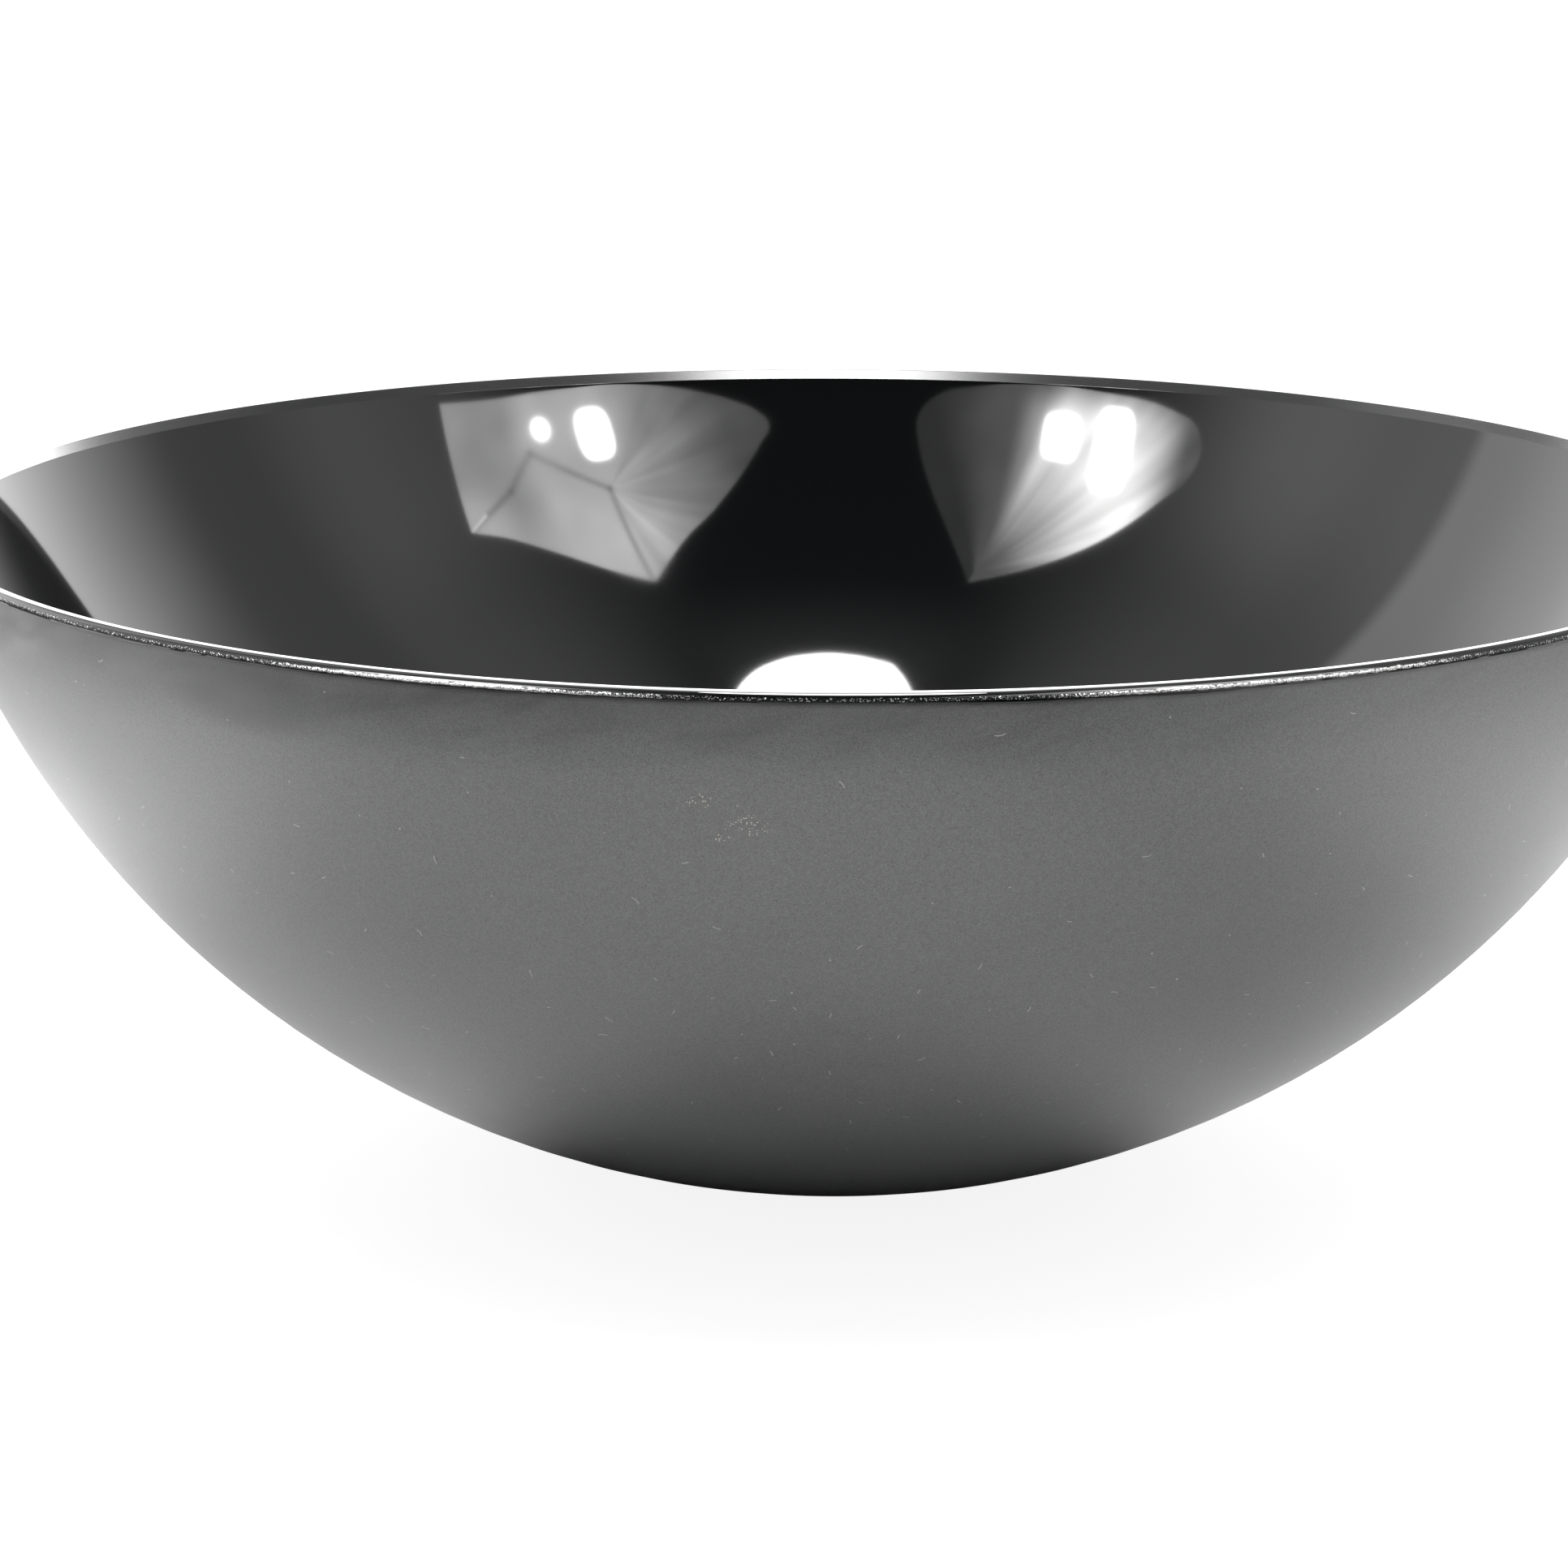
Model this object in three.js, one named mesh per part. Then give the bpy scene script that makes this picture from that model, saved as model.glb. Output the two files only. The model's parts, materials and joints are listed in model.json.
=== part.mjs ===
// Round enamelled steel centerpiece bowl: a pressed shell between two fired coats.
// Millimetres, +Z up, origin at the middle of the standing face.
import * as THREE from 'three';

// Driving dimensions of the finished bowl
const rimDiameter = 380;
const bowlHeight = 145;
const baseDiameter = 68;
const baseKnuckleRadius = 40;

// Layers of the wall
const steelThickness = 1.6;
const glossThickness = 0.6;
const mattThickness = 0.5;
const bondGap = 0.05;

// How far the gloss lining laps down the outside, and the joint below it
const glossLap = 0.4;
const lapJoint = 0.05;

// Faceting
const turnSegments = 64;
const wallSteps = 10;
const knuckleSteps = 2;
const rimOutsideSteps = 3;
const rimInsideSteps = 2;

// Offsets of each skin from the middle of the steel, positive outwards
const steelOutside = steelThickness / 2;
const steelInside = -steelThickness / 2;
const mattBack = steelOutside + bondGap;
const mattFace = mattBack + mattThickness;
const lapBack = mattBack;
const lapFace = lapBack + glossThickness;
const glossBack = steelInside - bondGap;
const glossFace = glossBack - glossThickness;

// The finished rim is a round bead: its middle is where the steel's edge is rounded from
const beadRadius = lapFace;
const beadRadial = rimDiameter / 2 - beadRadius;
const beadHeight = bowlHeight - beadRadius;

// The middle of the wall is an arc about a point on the axis, from the base's edge to the bead
const baseRadius = baseDiameter / 2;
const baseHeight = mattFace;
const wallCentre = (beadRadial ** 2 + beadHeight ** 2 - baseRadius ** 2 - baseHeight ** 2)
  / (2 * (beadHeight - baseHeight));
const wallRadius = Math.hypot(beadRadial, wallCentre - beadHeight);

// The knuckle rolls between the flat base and the wall
const knuckleHeight = baseHeight + baseKnuckleRadius;
const knuckleReach = wallRadius - baseKnuckleRadius;
const knuckleRadial = Math.sqrt(knuckleReach ** 2 - (wallCentre - knuckleHeight) ** 2);

// Angles about the wall's centre, from straight down
const knuckleEnd = Math.asin(knuckleRadial / knuckleReach);
const rimAngle = Math.atan2(beadRadial, wallCentre - beadHeight);
const lapAngle = rimAngle - glossLap / wallRadius;
const mattTop = lapAngle - lapJoint / wallRadius;

// A point of the wall at an angle, on the skin with that offset
function wallPoint(angle, offset) {
  const radius = wallRadius + offset;
  return new THREE.Vector2(radius * Math.sin(angle), wallCentre - radius * Math.cos(angle));
}

// A point of the knuckle at an angle, on the skin with that offset
function knucklePoint(angle, offset) {
  const radius = baseKnuckleRadius + offset;
  return new THREE.Vector2(
    knuckleRadial + radius * Math.sin(angle),
    knuckleHeight - radius * Math.cos(angle),
  );
}

// A point of the round rim at an angle from straight down, at a radius from the bead's middle
function rimPoint(angle, radius) {
  return new THREE.Vector2(
    beadRadial + radius * Math.sin(angle),
    beadHeight - radius * Math.cos(angle),
  );
}

// Equal steps from one angle to another, both included
function spread(from, to, steps) {
  return Array.from({ length: steps + 1 }, (_, step) => THREE.MathUtils.lerp(from, to, step / steps));
}

// One skin from the axis up to the matt coat's top edge, all skins with points on the same angles
function skin(offset) {
  return [
    new THREE.Vector2(0, baseHeight - offset),
    ...spread(0, knuckleEnd, knuckleSteps).slice(0, -1).map((angle) => knucklePoint(angle, offset)),
    ...spread(knuckleEnd, mattTop, wallSteps).map((angle) => wallPoint(angle, offset)),
  ];
}

// The round rim at a radius: from the wall's outside by the widest point and the top to its inside
function rimArc(radius) {
  const angles = [
    rimAngle,
    ...spread(Math.PI / 2, Math.PI, rimOutsideSteps),
    ...spread(Math.PI, rimAngle + Math.PI, rimInsideSteps).slice(1),
  ];
  return angles.map((angle) => rimPoint(angle, radius));
}

// A closed profile turned about the axis and stood up along Z
function turned(name, profile, finish) {
  const geometry = new THREE.LatheGeometry(profile, turnSegments);
  geometry.rotateX(Math.PI / 2);
  const mesh = new THREE.Mesh(geometry, new THREE.MeshStandardMaterial(finish));
  mesh.name = name;
  return mesh;
}

// Pressed steel with its edge rounded over
function makeSteelShell() {
  const edgeRadius = steelThickness / 2;
  const profile = [...skin(steelOutside), ...rimArc(edgeRadius), ...skin(steelInside).reverse()];
  return turned('steel_shell', profile, { color: 0x7d7f80, roughness: 0.4, metalness: 1 });
}

// Matt coat outside, from the standing face up to the lap joint
function makeOuterMattEnamel() {
  const profile = [...skin(mattFace), ...skin(mattBack).reverse()];
  return turned('outer_matt_enamel', profile, { color: 0x595a5a, roughness: 0.5, metalness: 0 });
}

// Gloss lining inside, rolled over the steel's edge and lapped down the outside
function makeInnerGlossEnamel() {
  const profile = [
    ...skin(glossBack),
    ...rimArc(lapBack).reverse(),
    wallPoint(lapAngle, lapBack),
    wallPoint(lapAngle, lapFace),
    ...rimArc(beadRadius),
    ...skin(glossFace).reverse(),
  ];
  return turned('inner_gloss_enamel', profile, { color: 0x070809, roughness: 0.03, metalness: 0 });
}

const bowl = new THREE.Group();
bowl.add(makeSteelShell(), makeOuterMattEnamel(), makeInnerGlossEnamel());

export default bowl;
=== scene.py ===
import json
import math

import bmesh
import bpy
from mathutils import Matrix, Vector


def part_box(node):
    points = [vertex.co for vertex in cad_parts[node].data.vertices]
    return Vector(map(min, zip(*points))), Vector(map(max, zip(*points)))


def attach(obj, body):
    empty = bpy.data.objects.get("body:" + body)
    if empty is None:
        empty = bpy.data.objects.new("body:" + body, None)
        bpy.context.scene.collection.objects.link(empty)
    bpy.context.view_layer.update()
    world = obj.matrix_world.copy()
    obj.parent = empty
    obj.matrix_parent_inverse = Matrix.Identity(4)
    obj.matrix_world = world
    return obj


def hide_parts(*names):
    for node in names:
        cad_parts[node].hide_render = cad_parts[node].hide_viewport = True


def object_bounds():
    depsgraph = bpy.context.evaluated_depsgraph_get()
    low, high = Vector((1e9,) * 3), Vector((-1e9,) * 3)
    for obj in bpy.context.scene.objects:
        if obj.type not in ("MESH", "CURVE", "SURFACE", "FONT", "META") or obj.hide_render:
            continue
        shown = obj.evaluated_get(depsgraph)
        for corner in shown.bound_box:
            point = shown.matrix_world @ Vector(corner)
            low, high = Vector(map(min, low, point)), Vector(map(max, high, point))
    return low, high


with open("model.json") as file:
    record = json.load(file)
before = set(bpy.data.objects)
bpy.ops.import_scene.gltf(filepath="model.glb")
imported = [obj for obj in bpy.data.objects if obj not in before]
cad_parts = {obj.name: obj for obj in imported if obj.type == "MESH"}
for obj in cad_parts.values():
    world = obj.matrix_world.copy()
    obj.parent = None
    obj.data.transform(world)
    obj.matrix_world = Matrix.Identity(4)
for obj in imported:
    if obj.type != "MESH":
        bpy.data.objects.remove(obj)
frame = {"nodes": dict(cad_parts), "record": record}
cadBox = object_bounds()
scene = bpy.context.scene
scene.view_settings.view_transform = 'Standard'
print('frame:', ', '.join(sorted(frame['nodes'])))


class Wire:  # a node socket that can be written into sums
    def __init__(self, tree, socket=None):
        self.tree = tree
        self.socket = socket

    def feed(self, target, value):
        if isinstance(value, Wire):
            self.tree.links.new(value.socket, target)
        else:
            target.default_value = value

    def node(self, kind, settings=None, inputs=None, out=0):  # settings go in before the sockets
        made = self.tree.nodes.new(kind)
        for name, value in (settings or {}).items():
            setattr(made, name, value)
        for name, value in (inputs or {}).items():
            self.feed(made.inputs[name], value)
        return Wire(self.tree, made.outputs[out])

    def pick(self, out):  # another output of the same node
        return Wire(self.tree, self.socket.node.outputs[out])

    def maths(self, operation, *values):
        return self.node('ShaderNodeMath', {'operation': operation}, dict(enumerate(values)))

    def __add__(self, other):
        return self.maths('ADD', self, other)

    def __radd__(self, other):
        return self.maths('ADD', other, self)

    def __sub__(self, other):
        return self.maths('SUBTRACT', self, other)

    def __rsub__(self, other):
        return self.maths('SUBTRACT', other, self)

    def __mul__(self, other):
        return self.maths('MULTIPLY', self, other)

    def __rmul__(self, other):
        return self.maths('MULTIPLY', other, self)

    def __truediv__(self, other):
        return self.maths('DIVIDE', self, other)

    def __rtruediv__(self, other):
        return self.maths('DIVIDE', other, self)

    def __pow__(self, other):
        return self.maths('POWER', self, other)

    def __neg__(self):
        return self.maths('MULTIPLY', self, -1.0)

    def __abs__(self):
        return self.maths('ABSOLUTE', self)

    def largest(self, other):
        return self.maths('MAXIMUM', self, other)

    def under(self, other):  # 1 where this is the smaller
        return self.maths('LESS_THAN', self, other)

    def sine(self):
        return self.maths('SINE', self)

    def cosine(self):
        return self.maths('COSINE', self)

    def degrees(self):
        return self.maths('DEGREES', self)

    def bearing(self, other):  # angle whose tangent is this over the other
        return self.maths('ARCTAN2', self, other)

    def span(self, other):  # length of the two sides' diagonal
        return (self * self + other * other) ** 0.5

    def step(self, first, last):  # soft step from 0 at first to 1 at last
        return self.node('ShaderNodeMapRange', {'interpolation_type': 'SMOOTHSTEP'},
                         {'Value': self, 'From Min': first, 'From Max': last})

    def axes(self):  # the three parts of a vector
        split = self.node('ShaderNodeSeparateXYZ', inputs={0: self})
        return split, split.pick(1), split.pick(2)

    def vector(self, x=0.0, y=0.0, z=0.0):
        return self.node('ShaderNodeCombineXYZ', inputs={0: x, 1: y, 2: z})

    def noise(self, place, size=1.0, detail=2.0):  # size is the length of one swell
        settings = {'Vector': place, 'Scale': 1 / size, 'Detail': detail}
        return self.node('ShaderNodeTexNoise', inputs=settings)

    def cells(self, sheet, size):  # flat cells: the distance to each middle, with a colour of its own
        return self.node('ShaderNodeTexVoronoi', {'voronoi_dimensions': '2D'}, {
            'Vector': sheet, 'Scale': 1 / size})

    def vectors(self, factor, first, last):
        return self.node('ShaderNodeMix', {'data_type': 'VECTOR'}, {0: factor, 4: first, 5: last}, out=1)

    def colours(self, factor, first, last):
        return self.node('ShaderNodeMix', {'data_type': 'RGBA'}, {0: factor, 6: first, 7: last}, out=2)


def layered(measures, bands):  # adds up levels, each shaped by soft steps over named measures
    total = 0.0
    for height, *steps in bands:
        for measure, first, last in steps:
            height = measures[measure].step(first, last) * height
        total = height + total
    return total


# Layers of the wall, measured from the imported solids
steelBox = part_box('steel_shell')
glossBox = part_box('inner_gloss_enamel')

bowl = {  # metres
    'bond': 0.00005,  # hairline between the layers
    'baseRadius': 0.034,  # middle of the steel, where base and wall would meet
    'knuckle': 0.040,  # roll between base and wall
    'lap': 0.0001,  # gloss below the round of the rim, outside
    'lapJoint': 0.00005,
    'lapRoot': 0.35,  # share of the lap line's unevenness left at the round of the rim
    'edgeZone': 0.004,  # the coat's edge follows the lap this far down
    'ripple': 0.00005,  # of the lining, from the firing
    'touch': 0.000001,  # points closer than this are one
    'wallSteps': 34,
    'coatSteps': 48,
    'hiddenSteps': 12,
    'lapSteps': 3,
    'knuckleSteps': 5,
    'outerRimSteps': 9,
    'innerRimSteps': 7,
    'coatSegments': 960,
    'steelSegments': 240,
}
rimRadius = cadBox[1].x
bowlHeight = cadBox[1].z
mattThickness = steelBox[0].z - bowl['bond']
steelThickness = glossBox[0].z - steelBox[0].z - bowl['bond']
glossThickness = glossBox[1].x - steelBox[1].x - bowl['bond']

# Offsets of each face from the middle of the steel, outwards positive
steelFace = steelThickness / 2
mattBack = steelFace + bowl['bond']
mattFace = mattBack + mattThickness
lapFace = mattBack + glossThickness

beadRadial = rimRadius - lapFace
beadHeight = bowlHeight - lapFace
wallCentre = ((beadRadial ** 2 + beadHeight ** 2 - bowl['baseRadius'] ** 2 - mattFace ** 2)
              / (2 * (beadHeight - mattFace)))
wallRadius = math.hypot(beadRadial, wallCentre - beadHeight)
knuckleHeight = mattFace + bowl['knuckle']
knuckleReach = wallRadius - bowl['knuckle']
knuckleRadial = math.sqrt(knuckleReach ** 2 - (wallCentre - knuckleHeight) ** 2)

# Angles about the wall's centre, from straight down
knuckleEnd = math.asin(knuckleRadial / knuckleReach)
rimAngle = math.atan2(beadRadial, wallCentre - beadHeight)
lapAngle = rimAngle - bowl['lap'] / wallRadius
mattTop = lapAngle - bowl['lapJoint'] / wallRadius


def spread(first, last, steps):  # equal steps, both ends kept
    return [first + (last - first) * step / steps for step in range(steps + 1)]


def arcPoint(radial, height, radius, angle):
    return radial + radius * math.sin(angle), height - radius * math.cos(angle)


def wallPoint(angle, offset):
    return arcPoint(0, wallCentre, wallRadius + offset, angle)


def skin(offset, wallSteps):  # one face of a layer, from the axis up to the lap joint
    points = [(0, mattFace - offset)]
    for angle in spread(0, knuckleEnd, bowl['knuckleSteps'])[:-1]:
        points.append(arcPoint(knuckleRadial, knuckleHeight, bowl['knuckle'] + offset, angle))
    for share in spread(1, 0, wallSteps):  # rows closer together towards the rim
        points.append(wallPoint(mattTop - (mattTop - knuckleEnd) * share ** 2, offset))
    return points


def rimArc(radius):  # the round rim, from the outside over the top to the inside
    angles = [rimAngle, *spread(math.pi / 2, math.pi, bowl['outerRimSteps'])]
    angles += spread(math.pi, rimAngle + math.pi, bowl['innerRimSteps'])[1:]
    return [arcPoint(beadRadial, beadHeight, radius, angle) for angle in angles]


# A profile turned about the axis, with an uneven lap line and a slow ripple in the wall
def turningTree():
    tree = bpy.data.node_groups.new('turnedLayer', 'GeometryNodeTree')
    sockets = {
        'Profile': 'NodeSocketGeometry', 'Segments': 'NodeSocketInt', 'Turn Radius': 'NodeSocketFloat',
        'Lap Unevenness': 'NodeSocketFloat', 'Lap Slope': 'NodeSocketFloat',
        'Long Swell': 'NodeSocketFloat', 'Long Share': 'NodeSocketFloat',
        'Short Swell': 'NodeSocketFloat', 'Short Share': 'NodeSocketFloat',
        'Ripple': 'NodeSocketFloat', 'Ripple Swell': 'NodeSocketFloat', 'Corner Angle': 'NodeSocketFloat',
        'Seed': 'NodeSocketInt', 'Seed Spacing': 'NodeSocketFloat', 'Finish': 'NodeSocketMaterial',
    }
    for name, kind in sockets.items():
        tree.interface.new_socket(name, in_out='INPUT', socket_type=kind)
    tree.interface.new_socket('Layer', in_out='OUTPUT', socket_type='NodeSocketGeometry')
    w = Wire(tree)
    size = w.node('NodeGroupInput')
    turnRadius = size.pick('Turn Radius')

    # The profile stands in XZ: it is laid into the section plane of the circle that carries it
    x, y, z = w.node('GeometryNodeInputPosition').axes()
    curve = w.node('GeometryNodeMeshToCurve', inputs={0: size.pick('Profile')})
    section = w.node('GeometryNodeSetPosition',
                     inputs={'Geometry': curve, 'Position': w.vector(x - turnRadius, -z)})
    circle = w.node('GeometryNodeCurvePrimitiveCircle',
                    inputs={'Resolution': size.pick('Segments'), 'Radius': turnRadius})
    level = w.node('GeometryNodeSetCurveNormal', {'mode': 'Z_UP'}, {0: circle})
    swept = w.node('GeometryNodeCurveToMesh', inputs={'Curve': level, 'Profile Curve': section})
    closed = w.node('GeometryNodeMergeByDistance', inputs={0: swept, 'Distance': bowl['touch']})

    # Unevenness of the lap line, the same at each height
    radial = x.span(y).largest(bowl['touch'])
    outX = x / radial
    outY = y / radial
    seed = size.pick('Seed') * size.pick('Seed Spacing')
    ring = w.vector(outX * turnRadius, outY * turnRadius, seed)
    longSwell = w.noise(ring, size.pick('Long Swell'), detail=1.0)
    shortSwell = w.noise(ring, size.pick('Short Swell'))
    swell = (longSwell - 0.5) * size.pick('Long Share') + (shortSwell - 0.5) * size.pick('Short Share')
    hang = w.node('GeometryNodeInputNamedAttribute', inputs={'Name': 'hang'})
    drop = swell * hang * size.pick('Lap Unevenness')
    lean = drop * size.pick('Lap Slope').cosine()
    fall = drop * size.pick('Lap Slope').sine()
    lapped = w.node('GeometryNodeSetPosition', inputs={
        'Geometry': closed, 'Offset': w.vector(outX * lean, outY * lean, fall)})

    # A slow ripple along the wall's own normal, from the firing
    place = w.node('GeometryNodeInputPosition')
    swing = w.noise(place, size.pick('Ripple Swell'), detail=1.0)
    ripple = w.node('GeometryNodeInputNamedAttribute', inputs={'Name': 'ripple'})
    move = w.node('ShaderNodeVectorMath', {'operation': 'SCALE'}, {
        0: w.node('GeometryNodeInputNormal'), 'Scale': (swing - 0.5) * ripple * size.pick('Ripple')})
    rippled = w.node('GeometryNodeSetPosition', inputs={'Geometry': lapped, 'Offset': move})

    # Round faces are smooth, and the ends of the coats keep their corners
    smooth = w.node('GeometryNodeSetShadeSmooth', inputs={0: rippled})
    bend = w.node('GeometryNodeInputMeshEdgeAngle')
    corner = bend.maths('GREATER_THAN', bend, size.pick('Corner Angle'))
    creased = w.node('GeometryNodeSetShadeSmooth', {'domain': 'EDGE'},
                     {0: smooth, 'Selection': corner, 'Shade Smooth': False})
    real = w.node('GeometryNodeRealizeInstances', inputs={0: creased})
    finished = w.node('GeometryNodeSetMaterial', inputs={0: real, 'Material': size.pick('Finish')})
    output = tree.nodes.new('NodeGroupOutput')
    w.feed(output.inputs[0], finished)
    return tree


turnedLayer = turningTree()
lapShape = {  # metres
    'Turn Radius': rimRadius, 'Lap Slope': lapAngle, 'Lap Unevenness': 0.00032,
    'Long Swell': 0.016, 'Long Share': 2.2, 'Short Swell': 0.0045, 'Short Share': 1.4,
    'Ripple Swell': 0.045, 'Corner Angle': math.radians(40), 'Seed': 5, 'Seed Spacing': 0.37,
}


def plainMesh(piece):  # the evaluated shape as an ordinary mesh, faces outwards
    shown = piece.evaluated_get(bpy.context.evaluated_depsgraph_get())
    mesh = bpy.data.meshes.new_from_object(shown)
    piece.modifiers.clear()
    piece.data = mesh
    mesh.name = piece.name
    faces = bmesh.new()
    faces.from_mesh(mesh)
    bmesh.ops.recalc_face_normals(faces, faces=faces.faces)
    faces.to_mesh(mesh)
    faces.free()


def turnLayer(name, outline, finish, segments, ripple=0.0):
    profile = bpy.data.meshes.new(name)
    edges = [(row, row + 1) for row in range(len(outline) - 1)]
    profile.from_pydata([(point[0], 0, point[1]) for point in outline], edges, [])
    for column, label in ((2, 'hang'), (3, 'ripple')):
        values = profile.attributes.new(label, 'FLOAT', 'POINT')
        values.data.foreach_set('value', [point[column] for point in outline])
    piece = bpy.data.objects.new(name, profile)
    scene.collection.objects.link(piece)
    turning = piece.modifiers.new('turned', 'NODES')
    turning.node_group = turnedLayer
    settings = {**lapShape, 'Segments': segments, 'Ripple': ripple, 'Finish': finish}
    for socket in turnedLayer.interface.items_tree:
        if socket.name in settings:
            turning[socket.identifier] = settings[socket.name]
    plainMesh(piece)
    print(name, len(piece.data.polygons), 'faces')
    return piece


def newMaterial(name):
    material = bpy.data.materials.new(name)
    material.use_nodes = True
    shader = material.node_tree.nodes['Principled BSDF']
    return material, Wire(material.node_tree), shader


slotColours = {row['slot']: (*row['base_color'], 1) for row in frame['record']['materials']}


def tinted(colour, factor):  # the same hue, lighter or darker
    return (*(part * factor for part in colour[:3]), 1)


# Gloss black lining, ground along the outside of the rim
liningLook = {  # sizes in metres
    'ior': 1.52,
    'roughness': 0.045, 'hazeRoughness': 0.065, 'hazeSwell': 0.03, 'hazeFrom': 0.5, 'hazeFull': 0.75,
    'rimRoughness': 0.012, 'rimFrom': bowlHeight - 0.0045, 'rimFull': bowlHeight - 0.0025,
    'shoulderLow': bowlHeight - 0.0026, 'shoulderHigh': bowlHeight - 0.0002, 'shoulderFade': 0.0001,
    'shoulderTilt': math.radians(39), 'shoulderRoughness': 0.22,
    'groundLow': beadHeight - 0.00005, 'groundHigh': beadHeight + 0.00065, 'groundFade': 0.0002,
    'groundSway': 0.0005, 'groundSwell': 0.0012,
    'groundRoughness': 0.2, 'grit': 0.00030, 'gritDepth': 0.0001,
    'grain': 0.00028, 'grainFrom': 0.33, 'grainFull': 0.47,
    'grainColour': (0.85, 0.85, 0.84, 1), 'grainMiddle': 0.03, 'grainLift': 0.24,
    'grainAndHighlightBands': (  # share of grains, by the sine of the angle round from the front: few at front and back, most in between, few towards the sides, a painted highlight that follows where the light falls
        (0.05,), (0.95, ('sidelong', 0.14, 0.24)), (-0.88, ('sidelong', 0.45, 0.56))),
}


def glossEnamel():
    look = liningLook
    material, w, shader = newMaterial('gloss_enamel')
    place = w.node('ShaderNodeTexCoord', out='Object')
    x, y, z = place.axes()
    radial = x.span(y)
    haze = w.noise(place, look['hazeSwell'], detail=4.0).step(look['hazeFrom'], look['hazeFull'])
    rough = look['roughness'] + haze * (look['hazeRoughness'] - look['roughness'])
    rough = rough + z.step(look['rimFrom'], look['rimFull']) * (look['rimRoughness'] - rough)

    # Soft shoulder: just under the rim, on the inside, the shading normal leans up and the lining is
    # rougher
    shoulder = z.step(look['shoulderLow'], look['shoulderLow'] + look['shoulderFade'])
    shoulder = shoulder * z.step(look['shoulderHigh'], look['shoulderHigh'] - look['shoulderFade'])
    shoulder = shoulder * radial.step(beadRadial, beadRadial - look['shoulderFade'])
    rough = rough + shoulder * (look['shoulderRoughness'] - rough)
    inwards = -math.cos(look['shoulderTilt']) / radial
    leaning = w.vector(x * inwards, y * inwards, math.sin(look['shoulderTilt']))
    facing = w.vectors(shoulder, w.node('ShaderNodeNewGeometry', out='Normal'), leaning)

    # Ground line: pale metallic grains in a narrow uneven band round the outside; how many there are round
    # the rim is painted highlight
    swayed = z + (w.noise(place, look['groundSwell'], detail=3.0) - 0.5) * look['groundSway']
    ground = swayed.step(look['groundLow'], look['groundLow'] + look['groundFade'])
    ground = ground * swayed.step(look['groundHigh'], look['groundHigh'] - look['groundFade'])
    ground = ground * radial.step(beadRadial, beadRadial + look['groundFade'])
    rough = rough + ground * (look['groundRoughness'] - rough)
    sidelong = abs(x / radial - look['grainMiddle'])
    bare = 1 - layered({'sidelong': sidelong}, look['grainAndHighlightBands'])
    grains = w.noise(place, look['grain']) - bare * look['grainLift']
    grains = grains.step(look['grainFrom'], look['grainFull']) * ground
    grit = w.noise(place, look['grit'], detail=3.0)
    bump = w.node('ShaderNodeBump', inputs={
        'Strength': ground, 'Distance': look['gritDepth'], 'Height': grit, 'Normal': facing})
    w.feed(shader.inputs['Base Color'], w.colours(grains, slotColours['gloss_enamel'], look['grainColour']))
    w.feed(shader.inputs['Metallic'], grains)
    w.feed(shader.inputs['Roughness'], rough)
    w.feed(shader.inputs['IOR'], look['ior'])
    w.feed(shader.inputs['Normal'], bump)
    return material


# Matt charcoal coat
coatLook = {  # sizes in metres
    'roughness': 0.42, 'rubbedRoughness': 0.26, 'ior': 1.6,
    'grain': 0.00025, 'grainShare': 1.8, 'grainRoughness': 0.12, 'grainDepth': 0.00002,
    'fleck': 0.0008, 'fleckShare': 0.3,
    'mottle': 0.030, 'mottleShare': 0.2, 'mottleRoughness': 0.06,
    # painted shade: a darker band under the rim
    'bandReach': 0.012, 'bandSway': 0.012, 'bandSwell': 0.045, 'bandShare': 0.62,
    'smearLength': 0.020, 'smearHeight': 0.006, 'smearSlant': 0.25, 'smearFrom': 0.4, 'smearFull': 0.7,
    'smearReach': 0.015, 'smearNear': 0.0045, 'smearShare': 0.45,
    'shadeAndSmearMiddle': 0.58, 'shadeAndSmearLean': 0.50,  # painted shade band under the rim, and smears: share at the front, and more to the left
    'edgeFrom': 0.75, 'edgeShare': 0.5,  # painted shade: a dark line where the coat meets the lap
    'darkPatch': (-0.106, 0.0065, 0.024, 0.0090), 'darkPatchShare': 0.45,  # a darker oval patch under the rim on the left, placed as the dust patches are
    'speckCell': 0.008, 'speckRadius': 0.00020, 'speckLeast': 0.5, 'speckCore': 0.6, 'speckShare': 0.10,
    'scuffCell': 0.013, 'scuffLength': 0.0008, 'scuffLeast': 0.35, 'scuffTaper': 0.7,
    'scuffWidth': 0.00012, 'scuffCore': 0.4, 'scuffCurl': 260,
    'scuffShare': 0.15, 'scuffLow': 0.45, 'lowFrom': 0.015, 'lowTo': 0.045,  # more of them low on the wall
    'light': (0.42, 0.42, 0.41, 1), 'lightShare': 0.55, 'markDepth': 0.6,
    'dustCell': 0.00045, 'dustRadius': 0.00014, 'dustLeast': 0.4, 'dustCore': 0.5,
    'dustShare': 0.4, 'dustThick': 0.2, 'dust': (0.42, 0.39, 0.31, 1),
    'dustPatches': (  # along the wall from the front, down from the rim, half width, half height
        (-0.0140, 0.0235, 0.0045, 0.0026),
        (-0.0190, 0.0262, 0.0022, 0.0012),
        (-0.0222, 0.0188, 0.0028, 0.0020),
    ),
}


def patchReach(around, below, patch):  # 0 in the middle of a patch, 1 on its oval edge
    middleAround, middleBelow, halfWide, halfTall = patch
    return ((around - middleAround) / halfWide) ** 2 + ((below - middleBelow) / halfTall) ** 2


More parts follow.
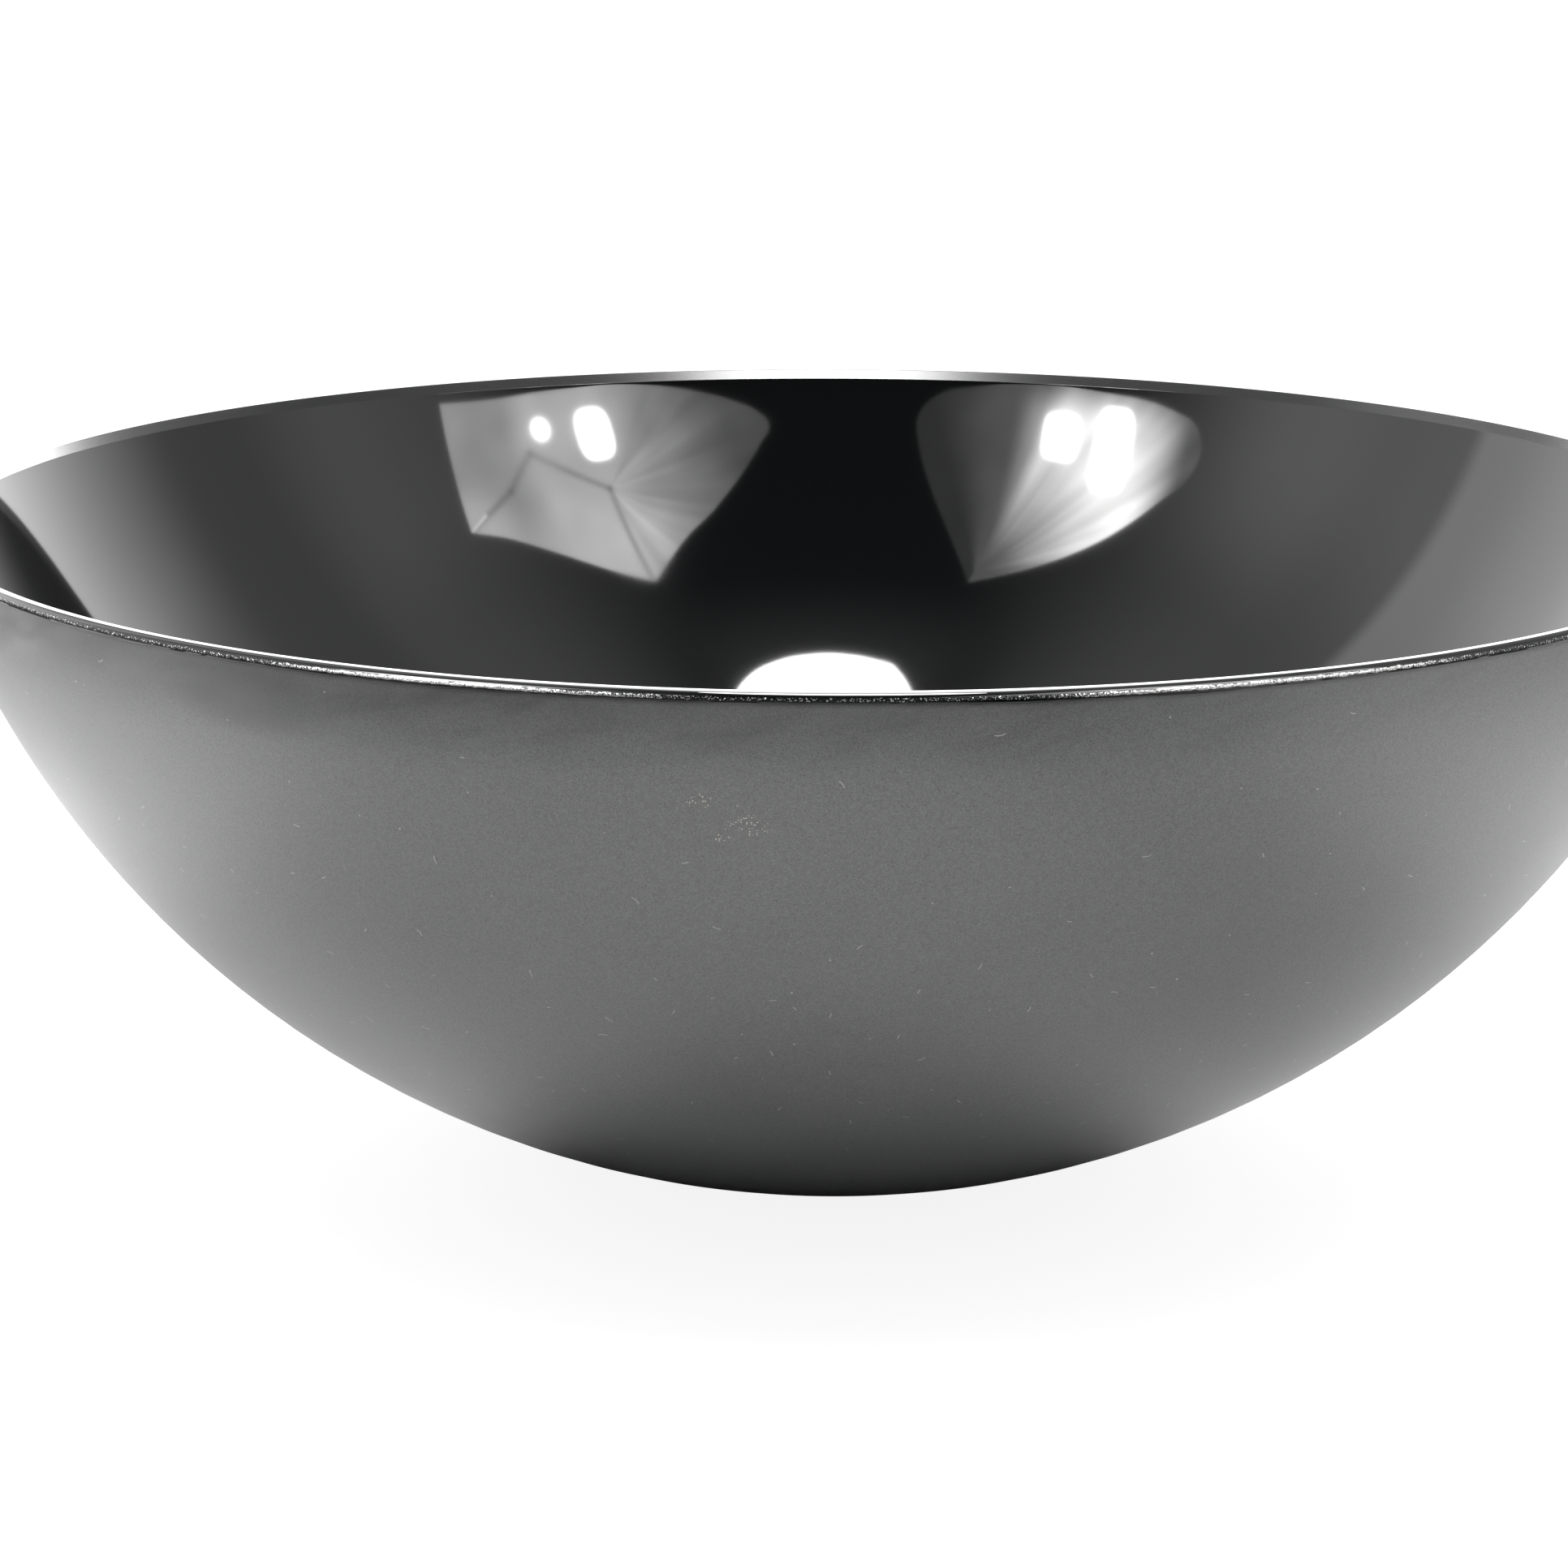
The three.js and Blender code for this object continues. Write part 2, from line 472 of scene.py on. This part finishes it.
def mattEnamel():
    look = coatLook
    material, w, shader = newMaterial('matt_enamel')
    place = w.node('ShaderNodeTexCoord', out='Object')
    x, y, z = place.axes()
    radial = x.span(y)
    around = x.bearing(-y) * rimRadius  # along the wall, 0 at the front
    below = (rimAngle - radial.bearing(wallCentre - z)) * wallRadius  # down from the rim
    sheet = w.vector(around, below)

    grain = w.noise(place, look['grain'])
    fleck = w.noise(place, look['fleck'])
    mottle = w.noise(place, look['mottle'], detail=4.0)
    shade = 1 + (grain - 0.5) * look['grainShare'] + (fleck - 0.5) * look['fleckShare']
    shade = shade + (mottle - 0.5) * look['mottleShare']

    # Painted shade: the coat's colour darkens in an uneven band under the rim, most of all on the left,
    # with dark smears in that band
    sideways = x / radial.largest(look['grain'])
    shadeAndSmearShare = look['shadeAndSmearMiddle'] - sideways * look['shadeAndSmearLean']
    sway = w.noise(place, look['bandSwell'])
    band = below.step(look['bandReach'] + sway * look['bandSway'], 0.0) * shadeAndSmearShare
    slanted = below + around * look['smearSlant']
    smear = w.noise(w.vector(around / look['smearLength'], slanted / look['smearHeight']), detail=3.0)
    smear = smear.step(look['smearFrom'], look['smearFull']) * shadeAndSmearShare
    smear = smear * below.step(look['smearReach'], look['smearNear'])
    hang = w.node('ShaderNodeAttribute', {'attribute_name': 'hang'}, out='Fac')
    # painted shade along the top of the coat, at the lap joint
    edge = hang.step(look['edgeFrom'], 1.0)
    # the coat's colour is darker in an oval patch under the rim on the left
    darkPatch = patchReach(around, below, look['darkPatch']).step(1.0, 0.0)
    # the coat's colour is darker in the painted shade band under the rim and in the smears
    shade = shade * (1 - band * look['bandShare']) * (1 - smear * look['smearShare'])
    shade = shade * (1 - edge * look['edgeShare']) * (1 - darkPatch * look['darkPatchShare'])

    # Sparse pale specks and short curved scuffs, one to a cell at most
    speck = w.cells(sheet, look['speckCell'])
    chance, girth, _ = speck.pick('Color').axes()
    speckReach = speck * look['speckCell'] / (look['speckRadius'] * (look['speckLeast'] + girth))
    specks = speckReach.step(1.0, look['speckCore']) * chance.under(look['speckShare'])
    scuff = w.cells(sheet, look['scuffCell'])
    luck, turn, length = scuff.pick('Color').axes()
    away = w.node('ShaderNodeVectorMath', {'operation': 'SUBTRACT'}, {0: sheet, 1: scuff.pick('Position')})
    awayX, awayY, _ = away.axes()
    awayX = awayX * radial / rimRadius
    turn = turn * math.tau
    along = awayX * turn.cosine() + awayY * turn.sine()
    across = awayY * turn.cosine() - awayX * turn.sine()
    across = across - along * along * look['scuffCurl']
    half = look['scuffLength'] * (look['scuffLeast'] + length)
    scuffs = abs(across).step(look['scuffWidth'], look['scuffWidth'] * look['scuffCore'])
    scuffs = scuffs * abs(along).step(half, half * look['scuffTaper'])
    often = look['scuffShare'] + below.step(look['lowFrom'], look['lowTo']) * look['scuffLow']
    scuffs = scuffs * luck.under(often)
    marks = specks.largest(scuffs)

    # A little pale dust rubbed in at the front
    dusty = 0.0
    for patch in look['dustPatches']:
        dusty = patchReach(around, below, patch).step(1.0, look['dustThick']) + dusty
    fine = w.cells(sheet, look['dustCell'])
    share, girth, _ = fine.pick('Color').axes()
    dustReach = fine * look['dustCell'] / (look['dustRadius'] * (look['dustLeast'] + girth))
    dust = dustReach.step(1.0, look['dustCore']) * share.under(dusty * look['dustShare'])

    base = slotColours['matt_enamel']
    tone = w.colours(shade / 2, tinted(base, 0.0), tinted(base, 2.0))  # the shade runs from 0 to 2
    tone = w.colours(marks * look['lightShare'], tone, look['light'])
    w.feed(shader.inputs['Base Color'], w.colours(dust, tone, look['dust']))
    rough = look['roughness'] - smear * (look['roughness'] - look['rubbedRoughness'])
    rough = rough + (grain - 0.5) * look['grainRoughness'] + (mottle - 0.5) * look['mottleRoughness']
    w.feed(shader.inputs['Roughness'], rough)
    w.feed(shader.inputs['IOR'], look['ior'])
    bump = w.node('ShaderNodeBump', inputs={
        'Strength': 1.0, 'Distance': look['grainDepth'], 'Height': grain + marks * look['markDepth']})
    w.feed(shader.inputs['Normal'], bump)
    return material


# Pressed steel between the coats
steelLook = {  # sizes in metres
    'roughness': 0.38, 'streakRoughness': 0.2,
    'brush': 0.0006, 'brushLength': 0.03, 'dark': 0.8, 'pale': 1.2,
}


def pressedSteel():
    look = steelLook
    material, w, shader = newMaterial('pressed_steel')
    place = w.node('ShaderNodeTexCoord', out='Object')
    x, y, z = place.axes()
    around = x.bearing(-y) * rimRadius
    brushed = w.vector(around / look['brushLength'], z / look['brush'])
    streak = w.noise(brushed, detail=4.0)
    base = slotColours['steel']
    tone = w.colours(streak, tinted(base, look['dark']), tinted(base, look['pale']))
    w.feed(shader.inputs['Base Color'], tone)
    w.feed(shader.inputs['Metallic'], 1.0)
    w.feed(shader.inputs['Roughness'], look['roughness'] + (streak - 0.5) * look['streakRoughness'])
    return material


def level(points, hang=0.0, ripple=0.0):  # profile points that all take the same share
    return [(x, z, hang, ripple) for x, z in points]


def easedHang(points):  # the rows just below the lap joint follow it, the lowest not at all
    return [(*point, max(0, 1 - math.dist(point, points[-1]) / bowl['edgeZone']), 0) for point in points]


def makeLining():
    back = level(skin(-mattBack, bowl['hiddenSteps'])) + level(rimArc(mattBack)[:0:-1])
    lap = [(*wallPoint(rimAngle, mattBack), bowl['lapRoot'], 0), (*wallPoint(lapAngle, mattBack), 1, 0)]
    for share in spread(0, 1, bowl['lapSteps']):  # the lap thins out to the coat's face
        offset = mattFace + (lapFace - mattFace) * math.sin(share * math.pi / 2)
        angle = lapAngle + (rimAngle - lapAngle) * share
        lap.append((*wallPoint(angle, offset), 1 - (1 - bowl['lapRoot']) * share, 0))
    face = level(rimArc(lapFace)[1:])
    inside = level(skin(-lapFace, bowl['wallSteps'])[::-1], ripple=1.0)
    outline = back + lap + face + inside
    return turnLayer('gloss_lining', outline, glossEnamel(), bowl['coatSegments'], bowl['ripple'])


def makeCoat():
    face = easedHang(skin(mattFace, bowl['coatSteps']))
    back = easedHang(skin(mattBack, bowl['hiddenSteps']))[::-1]
    return turnLayer('matt_coat', face + back, mattEnamel(), bowl['coatSegments'])


def makeSteel():
    steps = bowl['wallSteps']
    outline = skin(steelFace, steps) + rimArc(steelFace) + skin(-steelFace, steps)[::-1]
    return turnLayer('steel_core', level(outline), pressedSteel(), bowl['steelSegments'])


layers = (
    (makeLining(), 'inner_gloss_enamel', 'gloss_enamel'),
    (makeCoat(), 'outer_matt_enamel', 'matt_enamel'),
    (makeSteel(), 'steel_shell', 'steel'),
)
for piece, node, slot in layers:
    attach(piece, 'root')
    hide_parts(node)
print('layers in place')

# Camera at the photograph's viewing angle
cameraLook = {
    'place': (0.0, -0.69256, 0.26547), 'pitch': 0.2633, 'yaw': -0.0144, 'roll': 0.0051,
    'focalPixels': 4000, 'framePixels': 1932, 'sensor': 36.0, 'nearest': 0.01,
}


def addCamera():
    look = cameraLook
    data = bpy.data.cameras.new('camera')
    data.sensor_width = look['sensor']
    data.lens = look['sensor'] * look['focalPixels'] / look['framePixels']
    data.clip_start = look['nearest']
    camera = bpy.data.objects.new('camera', data)
    scene.collection.objects.link(camera)
    aim = Matrix.Rotation(math.pi / 2 - look['pitch'], 4, 'X')
    turn = Matrix.Rotation(-look['yaw'], 4, 'Y')
    tilt = Matrix.Rotation(look['roll'], 4, 'Z')
    camera.matrix_world = Matrix.Translation(look['place']) @ aim @ turn @ tilt
    scene.camera = camera


addCamera()
print('camera set')

# Studio: white surroundings, two softboxes and an overhead lamp that show in the gloss
worldFill = 0.10  # the world's light on matt surfaces
roomBands = (  # what the gloss mirrors: level, then degrees away from the camera's side, left and up
    (0.03,),  # dark room behind the camera
    (0.97, ('away', 22, 84)),
    (0.31, ('away', 45, 22), ('up', 50, 66)),
    (0.7, ('left', 54, 74), ('left', 122, 102), ('up', 44, 22)),
    (3.2, ('away', 107, 152), ('up', 34, 18)),
    (1.5, ('left', 104, 108), ('left', 140, 118)),  # pale wall on the left
    (-0.25, ('left', -88, -100), ('left', -122, -110)),
    (0.3, ('away', 46, 62), ('away', 94, 78), ('up', 46, 30)),
    (12.0, ('away', 143, 150), ('up', 16, 20), ('up', 80, 74)),  # bright wall behind, seen in the rim
)


def lightWorld():
    world = bpy.data.worlds.new('studio')
    world.use_nodes = True
    scene.world = world
    w = Wire(world.node_tree)
    background = world.node_tree.nodes['Background']
    x, y, z = w.node('ShaderNodeTexCoord', out='Generated').axes()
    left = -x.bearing(-y).degrees()  # 0 on the camera's side
    up = z.maths('ARCSINE', z).degrees()
    room = layered({'away': abs(left), 'left': left, 'up': up}, roomBands)
    path = w.node('ShaderNodeLightPath')
    camera = path.pick('Is Camera Ray')
    gloss = path.pick('Is Glossy Ray').largest(path.pick('Is Transmission Ray'))
    w.feed(background.inputs['Color'], (1, 1, 1, 1))
    w.feed(background.inputs['Strength'], camera + gloss * room + (1 - camera - gloss) * worldFill)


def addStage(name, mesh, material):
    mesh.materials.append(material)
    piece = bpy.data.objects.new(name, mesh)
    scene.collection.objects.link(piece)
    return piece


def bareMaterial(name):
    material = bpy.data.materials.new(name)
    material.use_nodes = True
    material.node_tree.nodes.clear()
    return material, Wire(material.node_tree)


def showShader(w, shader):
    output = w.tree.nodes.new('ShaderNodeOutputMaterial')
    w.feed(output.inputs['Surface'], shader)


floorLook = {
    'size': 60.0, 'colour': (0.84, 0.84, 0.84, 1),
    'shadeFrom': 0.078, 'shadeTo': 0.146,  # painted shadow under the bowl, in the floor's colour and in what the gloss mirrors
    'shadeShift': 0.045, 'shadeStretch': 1.45,  # towards the camera, and narrower across
    'seenShare': 0.3, 'seenGlow': 0.88,  # what the camera sees
    'seenFar': 0.12, 'farFrom': 0.5, 'farTo': 1.5,
    'mirrored': (  # painted light that coat and rim mirror: level, then metres from the axis, left, right and back
        (0.32,),
        (0.92, ('out', 0.40, 0.28)),
        (1.5, ('left', 0.165, 0.26), ('out', 0.60, 0.40), ('back', -0.26, -0.14)),
        (1.0, ('right', 0.165, 0.27), ('out', 0.60, 0.40)),
        # painted shade in the mirrored floor: darker in front of the bowl, and to its front right
        (-0.42, ('back', -0.08, -0.13), ('out', 0.26, 0.20)),
        (-0.38, ('right', 0.06, 0.12), ('right', 0.22, 0.17), ('back', -0.03, -0.08)),
    ),
}


def layFloor():
    look = floorLook
    material, w = bareMaterial('pale_floor')
    x, y, _ = w.node('ShaderNodeTexCoord', out='Object').axes()
    out = x.span(y)
    ahead = y + look['shadeShift']
    across = x * look['shadeStretch']
    # painted shadow: 0 under the bowl, 1 away from it
    clear = across.span(ahead).step(look['shadeFrom'], look['shadeTo'])
    glow = layered({'out': out, 'left': -x, 'right': x, 'back': y}, look['mirrored'])
    # the floor glows only to gloss: painted light, with the painted shadow in it
    mirrored = w.node('ShaderNodeEmission', inputs={'Strength': glow * clear})
    # the floor's colour darkens under the bowl: painted shadow
    matt = w.node('ShaderNodeBsdfDiffuse', inputs={
        'Color': w.colours(clear, tinted(look['colour'], 0.0), look['colour'])})
    soft = w.node('ShaderNodeBsdfDiffuse', inputs={'Color': tinted((1, 1, 1), look['seenShare'])})
    white = look['seenGlow'] + out.step(look['farFrom'], look['farTo']) * look['seenFar']
    shine = w.node('ShaderNodeEmission', inputs={'Strength': white})
    seen = w.node('ShaderNodeAddShader', inputs={0: soft, 1: shine})
    path = w.node('ShaderNodeLightPath')
    gloss = path.pick('Is Glossy Ray').largest(path.pick('Is Transmission Ray'))
    other = w.node('ShaderNodeMixShader', inputs={0: gloss, 1: matt, 2: mirrored})
    showShader(w, w.node('ShaderNodeMixShader', inputs={0: path.pick('Is Camera Ray'), 1: other, 2: seen}))
    half = look['size'] / 2
    mesh = bpy.data.meshes.new('floor')
    corners = [(-half, -half, 0), (half, -half, 0), (half, half, 0), (-half, half, 0)]
    mesh.from_pydata(corners, [], [range(len(corners))])
    addStage('floor', mesh, material)


def onlyInGloss(piece):  # a card that shows in reflections and nowhere else
    piece.visible_camera = False
    piece.visible_diffuse = False
    piece.visible_shadow = False


def facingBowl(azimuth, elevation, distance):  # azimuth 0 is the camera's side, right positive
    turn = Matrix.Rotation(math.radians(azimuth), 4, 'Z')
    tilt = Matrix.Rotation(math.radians(90 - elevation), 4, 'X')
    return Matrix.Translation((0, 0, bowlHeight)) @ turn @ tilt @ Matrix.Translation((0, 0, distance))


# Softboxes: everything in metres on the card, turns in degrees about its pivot
softboxes = (
    {'name': 'softbox_right', 'azimuth': 40, 'elevation': 33, 'distance': 1.3,
     'outline': ((0.579, -0.192, 'VECTOR'), (0.577, 0.216, 'VECTOR'), (0.420, 0.252, 'AUTO'),
                 (0.016, 0.473, 'VECTOR'), (-0.153, 0.351, 'AUTO'), (-0.283, 0.288, 'AUTO'),
                 (-0.530, 0.116, 'AUTO'), (-0.588, 0.058, 'AUTO'), (-0.561, 0.000, 'AUTO'),
                 (-0.494, -0.052, 'AUTO'), (-0.377, -0.113, 'AUTO'), (-0.140, -0.184, 'AUTO'),
                 (0.106, -0.203, 'AUTO'), (0.380, -0.195, 'AUTO')),
     'pivot': (0.035, 0.133),
     'bands': (
         (1.6,),
         (4.0, ('u', -0.48, -0.10)),
         (3.6, ('u', -0.16, 0.02)),
         (-3.2, ('u', 0.22, 0.36)),
         (2.0, ('v', 0.10, 0.34), ('u', -0.30, -0.05)),
         (2.4, ('u', 0.36, 0.50), ('v', 0.02, 0.16))),
     'streakDepth': 0.5, 'streakTurn': 13, 'streakFrom': 110, 'streakTo': 140,
     'folds': ((0.268, -0.014, 0.376, 0.098), (0.376, 0.098, 0.574, 0.216), (0.268, -0.014, 0.035, 0.133),
               (0.035, 0.133, 0.020, 0.466)),
     'rods': ((0.500, 0.166, 0.572, 0.212),),
     'bulbs': ((0.211, -0.084, 0.031, 0.036, 2, 0.0), (0.030, -0.046, 0.058, 0.083, 3, 0.0))},
    {'name': 'softbox_left', 'azimuth': -40, 'elevation': 33, 'distance': 1.3,
     'outline': ((0.516, -0.005, 'AUTO'), (0.490, 0.080, 'AUTO'), (0.112, 0.514, 'VECTOR'),
                 (-0.185, 0.316, 'AUTO'), (-0.396, 0.127, 'AUTO'), (-0.500, 0.010, 'AUTO'),
                 (-0.480, -0.112, 'AUTO'), (-0.373, -0.165, 'AUTO'), (-0.088, -0.197, 'AUTO'),
                 (0.155, -0.184, 'AUTO'), (0.352, -0.139, 'AUTO'), (0.469, -0.088, 'AUTO')),
     'pivot': (0.111, 0.469),
     'bands': (
         (0.6,),
         (1.2, ('turn', 52, 84)),
         (16.0, ('turn', 82, 106), ('reach', 0.10, 0.52), ('u', -0.46, -0.26), ('v', -0.24, -0.08)),
         (2.4, ('turn', 88, 104), ('u', -0.50, -0.28), ('reach', 0.02, 0.20)),
         (6.5, ('turn', 139, 147), ('reach', 0.14, 0.44), ('u', -0.46, -0.30))),
     'streakDepth': 0.6, 'streakTurn': 8, 'streakFrom': 80, 'streakTo': 95,
     'folds': (),
     'rods': (),
     'bulbs': ((0.001, -0.034, 0.061, 0.073, 4, 0.14), (-0.184, -0.021, 0.064, 0.129, 4, 0.10))},
)
softboxLook = {
    'bulbStrength': 40.0, 'bulbEdge': 1.5,
    'foldWidth': 0.018, 'foldShade': 0.4, 'rodWidth': 0.008, 'rodStrength': 9.0,
    'patch': 0.20, 'patchDepth': 0.5, 'streakReach': 0.6,
}


def lineNearness(u, v, ends, width):  # 1 on a line between two points of the card
    fromU, fromV, toU, toV = ends
    runU, runV = toU - fromU, toV - fromV
    along = ((u - fromU) * runU + (v - fromV) * runV) / (runU ** 2 + runV ** 2)
    along = along.node('ShaderNodeClamp', inputs={0: along})
    awayU = u - fromU - along * runU
    awayV = v - fromV - along * runV
    return awayU.span(awayV).step(width, 0)


def softboxGlow(look):
    shared = softboxLook
    material, w = bareMaterial(look['name'])
    place = w.node('ShaderNodeTexCoord', out='Object')
    u, v, _ = place.axes()
    alongU = u - look['pivot'][0]
    alongV = look['pivot'][1] - v
    turn = alongV.bearing(alongU).degrees()
    turn = turn + turn.under(-90.0) * 360  # from -90 to 270
    reach = alongU.span(alongV)
    strength = layered({'u': u, 'v': v, 'turn': turn, 'reach': reach}, look['bands'])
    patch = w.noise(place, shared['patch'], detail=1.0)
    streak = w.noise(w.vector(turn / look['streakTurn'], reach / shared['streakReach']), detail=1.0)
    streaked = turn.step(look['streakFrom'], look['streakTo']) * look['streakDepth']
    strength = strength * (1 + (patch - 0.5) * shared['patchDepth']) * (1 + (streak - 0.5) * 2 * streaked)
    for ends in look['folds']:
        strength = strength * (1 - lineNearness(u, v, ends, shared['foldWidth']) * shared['foldShade'])
    for ends in look['rods']:
        strength = strength + lineNearness(u, v, ends, shared['rodWidth']) * shared['rodStrength']
    for bulbU, bulbV, halfWide, halfTall, squareness, lean in look['bulbs']:
        bulbV = v - bulbV
        bulbU = u - bulbU + bulbV * lean
        near = abs(bulbU / halfWide) ** squareness + abs(bulbV / halfTall) ** squareness
        strength = strength + near.step(shared['bulbEdge'], 1 / shared['bulbEdge']) * shared['bulbStrength']
    showShader(w, w.node('ShaderNodeEmission', inputs={'Strength': strength}))
    return material


def outlineMesh(look):  # a flat card with a smooth outline
    curve = bpy.data.curves.new(look['name'], 'CURVE')
    curve.dimensions = '2D'
    curve.fill_mode = 'BOTH'
    line = curve.splines.new('BEZIER')
    line.bezier_points.add(len(look['outline']) - 1)
    line.use_cyclic_u = True
    for knot, (u, v, bend) in zip(line.bezier_points, look['outline']):
        knot.co = (u, v, 0)
        knot.handle_left_type = bend
        knot.handle_right_type = bend
    shape = bpy.data.objects.new(look['name'], curve)
    scene.collection.objects.link(shape)
    mesh = bpy.data.meshes.new_from_object(shape.evaluated_get(bpy.context.evaluated_depsgraph_get()))
    bpy.data.objects.remove(shape)
    return mesh


def addSoftbox(look):
    card = addStage(look['name'], outlineMesh(look), softboxGlow(look))
    card.matrix_world = facingBowl(look['azimuth'], look['elevation'], look['distance'])
    onlyInGloss(card)


overheadLamp = {
    'name': 'overhead_lamp', 'height': 1.6, 'strength': 36.0,
    'outline': ((0.306, -0.330, 'AUTO'), (0.279, -0.460, 'AUTO'), (0.193, -0.556, 'AUTO'),
                (0.070, -0.605, 'AUTO'), (-0.057, -0.605, 'AUTO'), (-0.180, -0.561, 'AUTO'),
                (-0.207, -0.543, 'AUTO'), (-0.222, -0.518, 'AUTO'), (-0.254, -0.425, 'AUTO'),
                (-0.261, -0.330, 'AUTO'), (-0.174, -0.131, 'AUTO'), (0.025, -0.049, 'AUTO'),
                (0.224, -0.131, 'AUTO')),
}


def addLamp():
    look = overheadLamp
    material, w = bareMaterial(look['name'])
    showShader(w, w.node('ShaderNodeEmission', inputs={'Strength': look['strength']}))
    card = addStage(look['name'], outlineMesh(look), material)
    card.location.z = look['height']
    onlyInGloss(card)


softLights = (
    {'name': 'top_light', 'place': (0.0, -0.25, 1.7), 'size': 1.6, 'power': 53.0},
    {'name': 'back_light', 'place': (0.0, 2.0, 0.75), 'size': 1.8, 'power': 60.0},
    {'name': 'left_light', 'place': (-1.3, -0.9, 1.0), 'size': 1.2, 'power': 8.0},
    {'name': 'right_light', 'place': (1.3, -0.9, 1.0), 'size': 1.2, 'power': 7.0},
)


def addLights():
    for look in softLights:
        data = bpy.data.lights.new(look['name'], 'AREA')
        data.size = look['size']
        data.energy = look['power']
        lamp = bpy.data.objects.new(look['name'], data)
        scene.collection.objects.link(lamp)
        place = Vector(look['place'])
        lamp.location = place
        lamp.rotation_euler = (-place).to_track_quat('-Z', 'Y').to_euler()
        lamp.visible_glossy = False


lightWorld()
layFloor()
for look in softboxes:
    addSoftbox(look)
addLamp()
addLights()
print('studio lit')
